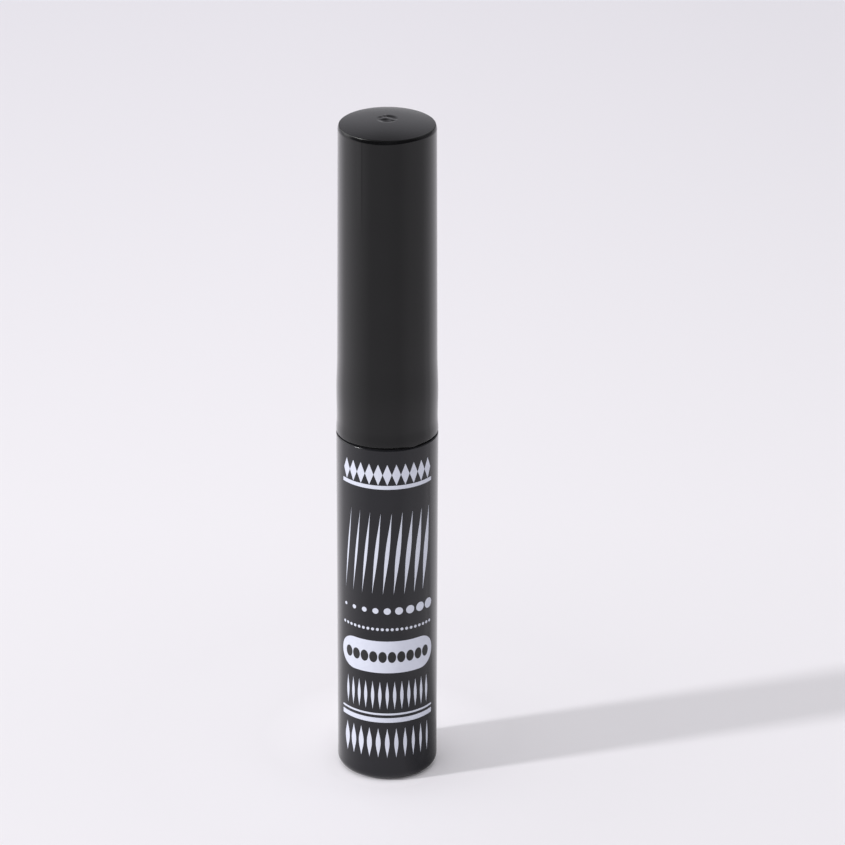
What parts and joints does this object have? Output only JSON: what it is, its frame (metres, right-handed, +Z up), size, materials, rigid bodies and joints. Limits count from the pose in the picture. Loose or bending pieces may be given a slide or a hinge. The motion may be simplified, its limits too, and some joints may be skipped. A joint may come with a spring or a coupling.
{
  "type": "liquid eyeliner pen",
  "caption": "Slim round dip-brush eyeliner: moulded bottle with threaded neck and wiper, long screw cap carrying a stem and fine brush.",
  "frame": {"origin": "centre of the ring that the bottle stands on", "axes": "+Z up along the pen's axis from base to cap, +X to the right and -Y to the front of the printed side"},
  "size_m": [0.015, 0.015, 0.1027],
  "materials": {
    "bottle_plastic": "moulded gloss black",
    "wiper_plastic": "natural soft moulded",
    "ink": "wet black liquid",
    "label": "blank coated label",
    "washer_foam": "closed-cell foam",
    "insert_plastic": "moulded black",
    "cap_plastic": "moulded satin black",
    "stem_plastic": "moulded black",
    "brush_hair": "tapered synthetic hair",
    "anchor_wire": "drawn wire"
  },
  "bodies": {
    "bottle": {"bottle": "bottle_plastic", "wiper": "wiper_plastic", "ink": "ink", "base_label": "label"},
    "seal": {"seal_washer": "washer_foam"},
    "cap": {"inner_cap": "insert_plastic", "cap_shell": "cap_plastic", "stem": "stem_plastic", "brush_tuft": "brush_hair", "tuft_anchor": "anchor_wire"}
  },
  "joints": [
    {"name": "cap_rise", "type": "slide", "parent": "bottle", "child": "seal", "axis": [0, 0, 1], "range_m": [0, 0.064]},
    {"name": "cap_turn", "type": "hinge", "parent": "seal", "child": "cap", "pos_m": [0, 0, 0.0545], "axis": [0, 0, 1], "range_deg": [0, 5760]}
  ],
  "couplings": [
    {"joint": "cap_rise", "follows": "cap_turn", "m_per_rad": 0.00063662}
  ]
}
